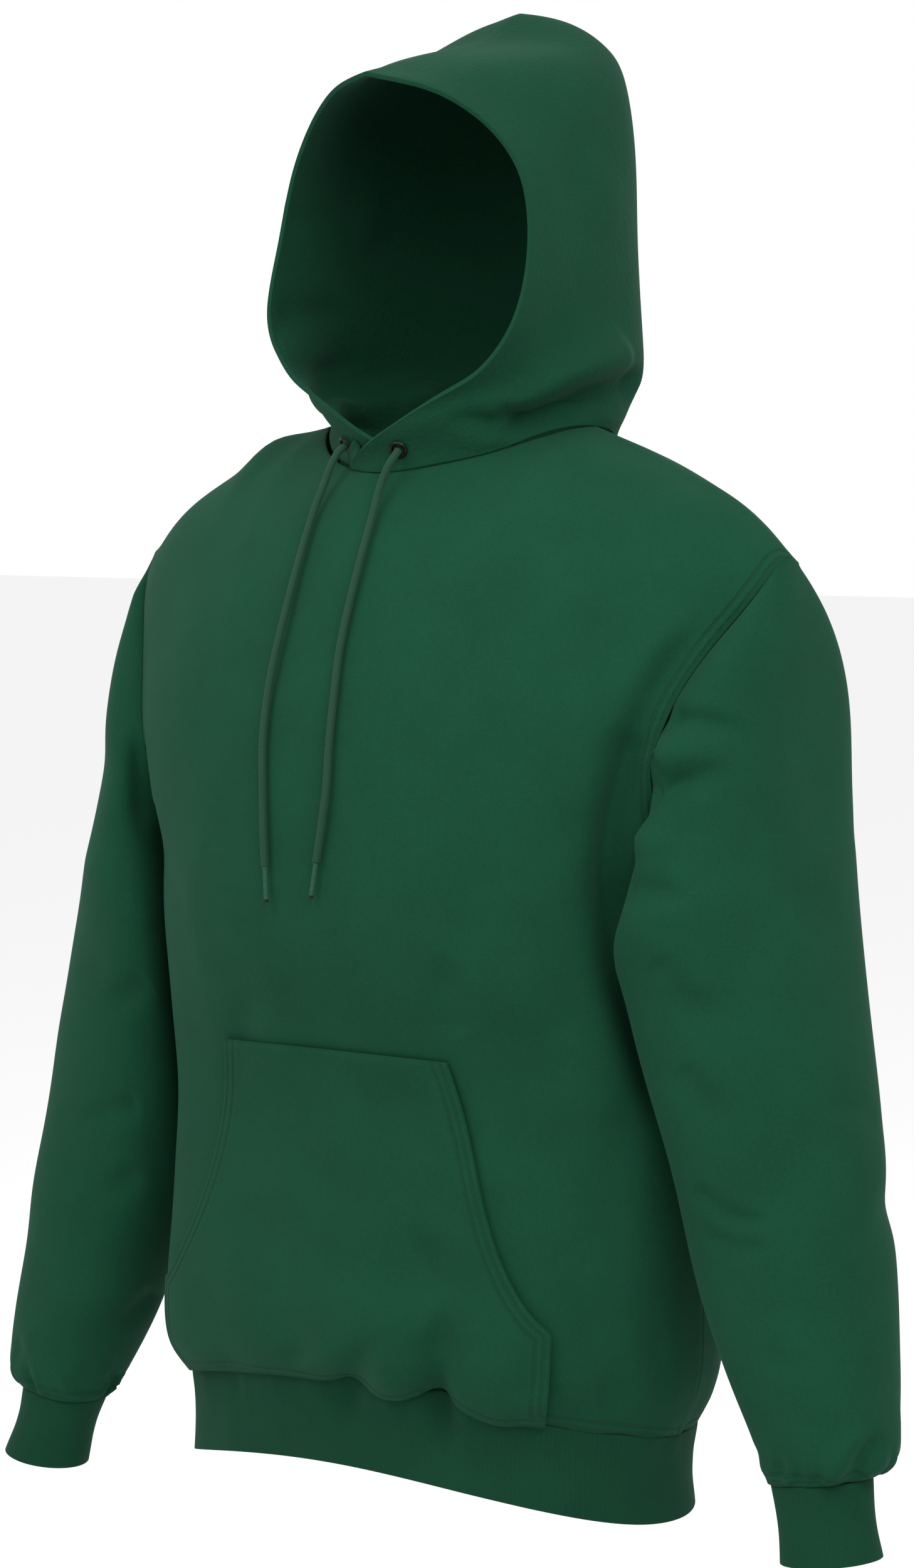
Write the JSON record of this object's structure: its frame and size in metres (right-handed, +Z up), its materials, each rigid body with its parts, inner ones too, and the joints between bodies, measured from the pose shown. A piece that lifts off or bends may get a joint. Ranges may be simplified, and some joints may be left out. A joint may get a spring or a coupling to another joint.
{
  "type": "pullover hoodie",
  "caption": "Long-sleeved pullover fleece hoodie worn hollow with its hood up: kangaroo pocket, ribbed cuffs and waistband, round drawcord through metal eyelets.",
  "frame": {"origin": "between the two high shoulder points of the neckline, level with them, where the wearer's shoulders carry the garment", "axes": "+Z up along the body, -Y out of the front, +X towards the wearer's left"},
  "size_m": [0.7303, 0.3005, 1.0184],
  "materials": {
    "fleece": "bottle-green brushed-back fleece knit, matt",
    "rib": "bottle-green rib knit, matt",
    "cord": "bottle-green round braided cord",
    "eyelet_metal": "dark antique metal"
  },
  "bodies": {
    "root": {"front": "fleece", "back": "fleece", "sleeve_left": "fleece", "sleeve_right": "fleece", "pocket": "fleece", "hood_left": "fleece", "hood_right": "fleece", "cuff_left": "rib", "cuff_right": "rib", "waistband": "rib", "eyelet_left": "eyelet_metal", "eyelet_right": "eyelet_metal", "drawcord_left": "cord", "drawcord_right": "cord", "cord_tip_left": "cord", "cord_tip_right": "cord"}
  },
  "joints": []
}
